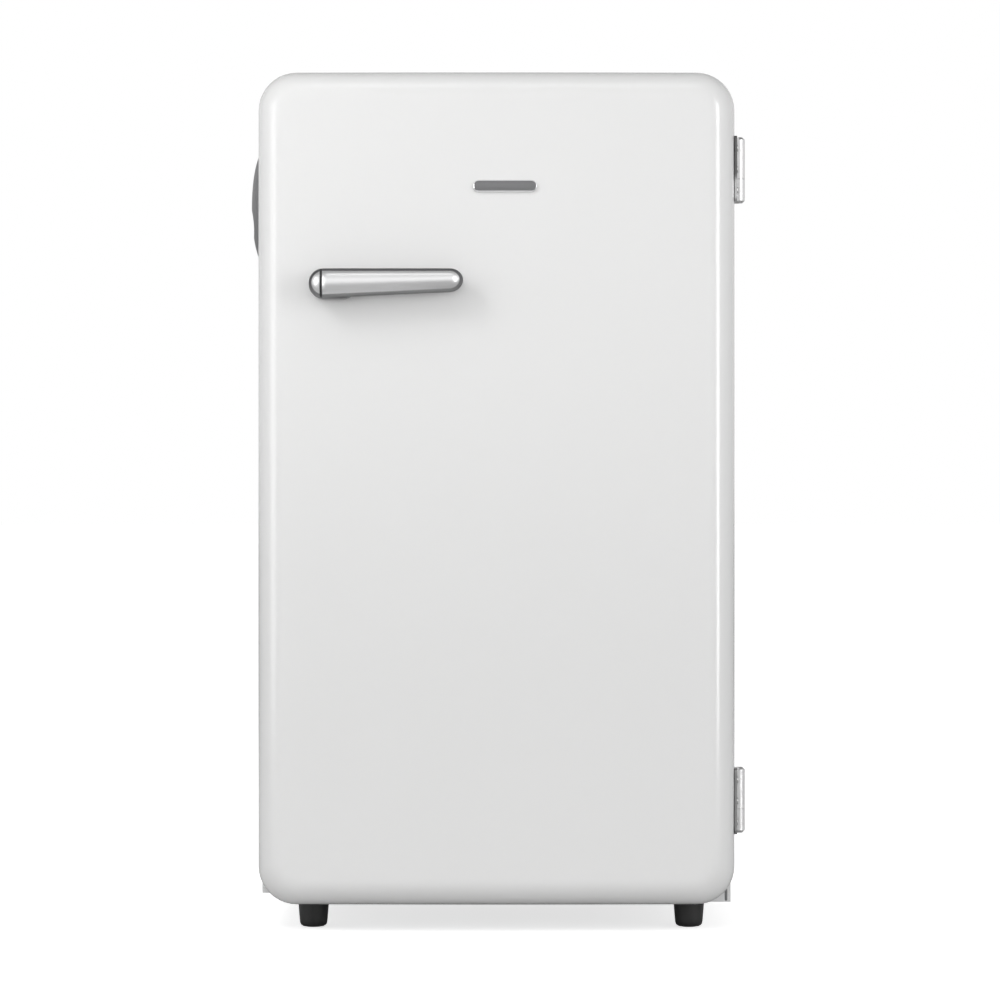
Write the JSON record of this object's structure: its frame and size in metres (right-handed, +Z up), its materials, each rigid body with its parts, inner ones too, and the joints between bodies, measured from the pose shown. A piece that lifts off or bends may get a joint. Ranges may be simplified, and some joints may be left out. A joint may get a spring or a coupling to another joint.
{
  "type": "mini fridge",
  "caption": "Table-height fridge with a crowned rounded door, chrome pull handle and barrel hinges, glass shelves, icebox, crisper, door racks, rear condenser and compressor.",
  "frame": {"origin": "on the floor, under the middle of the whole object's width and depth", "axes": "+Z up, the door faces -Y, the hinges are on the +X side"},
  "size_m": [0.498, 0.484, 0.857],
  "materials": {
    "white_enamel": "gloss",
    "sheet_steel": "galvanised",
    "back_paint": "satin",
    "white_plastic": "gloss",
    "foam": "foam",
    "chrome": "polished",
    "zinc_steel": "zinc plated",
    "black_plastic": "moulded",
    "foot_black": "moulded",
    "black_rubber": "matte",
    "gasket_rubber": "matte",
    "machine_black": "satin",
    "copper": "drawn",
    "icebox_aluminium": "roll bonded",
    "clear_plastic": "moulded clear",
    "shelf_glass": "toughened",
    "lamp_glass": "clear",
    "trim_plastic": "gloss",
    "rail_plastic": "gloss",
    "dark_cast": "cast, painted"
  },
  "bodies": {
    "cabinet": {"outer_wrapper": "white_enamel", "back_panel": "back_paint", "recess_panel": "sheet_steel", "bottom_panel": "sheet_steel", "inner_liner": "white_plastic", "cabinet_foam": "foam", "corner_bracket": "sheet_steel", "base_plate": "sheet_steel", "rear_feet": "black_plastic", "foot_nuts": "black_plastic", "compressor_shell": "machine_black", "compressor_legs": "machine_black", "compressor_grommets": "black_rubber", "compressor_bolts": "zinc_steel", "terminal_cover": "black_plastic", "condenser_tube": "machine_black", "condenser_wires": "machine_black", "condenser_standoffs": "black_plastic", "filter_drier": "copper", "refrigerant_lines": "copper", "evaporation_pan": "black_plastic", "drain_tube": "white_plastic", "cord_gland": "black_plastic", "icebox": "icebox_aluminium", "icebox_frame": "white_plastic", "tray_rails": "rail_plastic", "control_box": "white_plastic", "thermostat_body": "black_plastic", "lamp_lens": "clear_plastic", "lamp": "lamp_glass", "opener_body": "dark_cast", "opener_screws": "zinc_steel", "hinge_cabinet_leaves": "chrome", "hinge_pins": "zinc_steel", "hinge_cabinet_screws": "zinc_steel", "crisper_cover": "shelf_glass"},
    "door": {"door_skin": "white_enamel", "door_foam": "foam", "door_liner": "white_plastic", "door_gasket": "gasket_rubber", "handle_base": "chrome", "handle_bar": "chrome", "handle_cap": "chrome", "handle_screws": "zinc_steel", "hinge_door_leaves": "chrome", "hinge_door_screws": "zinc_steel", "badge": "chrome"},
    "top_rack": {"rack_top": "clear_plastic"},
    "middle_rack": {"rack_middle": "clear_plastic"},
    "bottle_rack": {"rack_bottom": "clear_plastic"},
    "flap": {"icebox_flap": "clear_plastic"},
    "tray": {"drip_tray": "clear_plastic"},
    "upper_shelf": {"shelf_upper_glass": "shelf_glass", "shelf_upper_trim": "trim_plastic"},
    "lower_shelf": {"shelf_lower_glass": "shelf_glass", "shelf_lower_trim": "trim_plastic"},
    "crisper": {"crisper_bin": "clear_plastic"},
    "knob": {"thermostat_knob": "white_plastic"},
    "left_foot": {"foot_left": "foot_black"},
    "right_foot": {"foot_right": "foot_black"}
  },
  "joints": [
    {"name": "door_hinge", "type": "hinge", "parent": "cabinet", "child": "door", "pos_m": [0.243, -0.15, 0], "axis": [0, 0, 1], "range_deg": [0, 120]},
    {"name": "flap_hinge", "type": "hinge", "parent": "cabinet", "child": "flap", "pos_m": [0, -0.052, 0.8], "axis": [-1, 0, 0], "range_deg": [0, 75]},
    {"name": "tray_slide", "type": "slide", "parent": "cabinet", "child": "tray", "axis": [0, -1, 0], "range_m": [0, 0.06]},
    {"name": "upper_shelf_slide", "type": "slide", "parent": "cabinet", "child": "upper_shelf", "axis": [0, -1, 0], "range_m": [0, 0.06]},
    {"name": "lower_shelf_slide", "type": "slide", "parent": "cabinet", "child": "lower_shelf", "axis": [0, -1, 0], "range_m": [0, 0.06]},
    {"name": "crisper_slide", "type": "slide", "parent": "cabinet", "child": "crisper", "axis": [0, -1, 0], "range_m": [0, 0.012]},
    {"name": "knob_turn", "type": "hinge", "parent": "cabinet", "child": "knob", "pos_m": [0.144, -0.06, 0.782], "axis": [0, -1, 0], "range_deg": [0, 300]},
    {"name": "left_foot_screw", "type": "slide", "parent": "cabinet", "child": "left_foot", "axis": [0, 0, -1], "range_m": [0, 0.012]},
    {"name": "right_foot_screw", "type": "slide", "parent": "cabinet", "child": "right_foot", "axis": [0, 0, -1], "range_m": [0, 0.012]},
    {"name": "top_rack_lift", "type": "slide", "parent": "door", "child": "top_rack", "axis": [0, 0, 1], "range_m": [0, 0.012]},
    {"name": "middle_rack_lift", "type": "slide", "parent": "door", "child": "middle_rack", "axis": [0, 0, 1], "range_m": [0, 0.012]},
    {"name": "bottle_rack_lift", "type": "slide", "parent": "door", "child": "bottle_rack", "axis": [0, 0, 1], "range_m": [0, 0.012]}
  ]
}
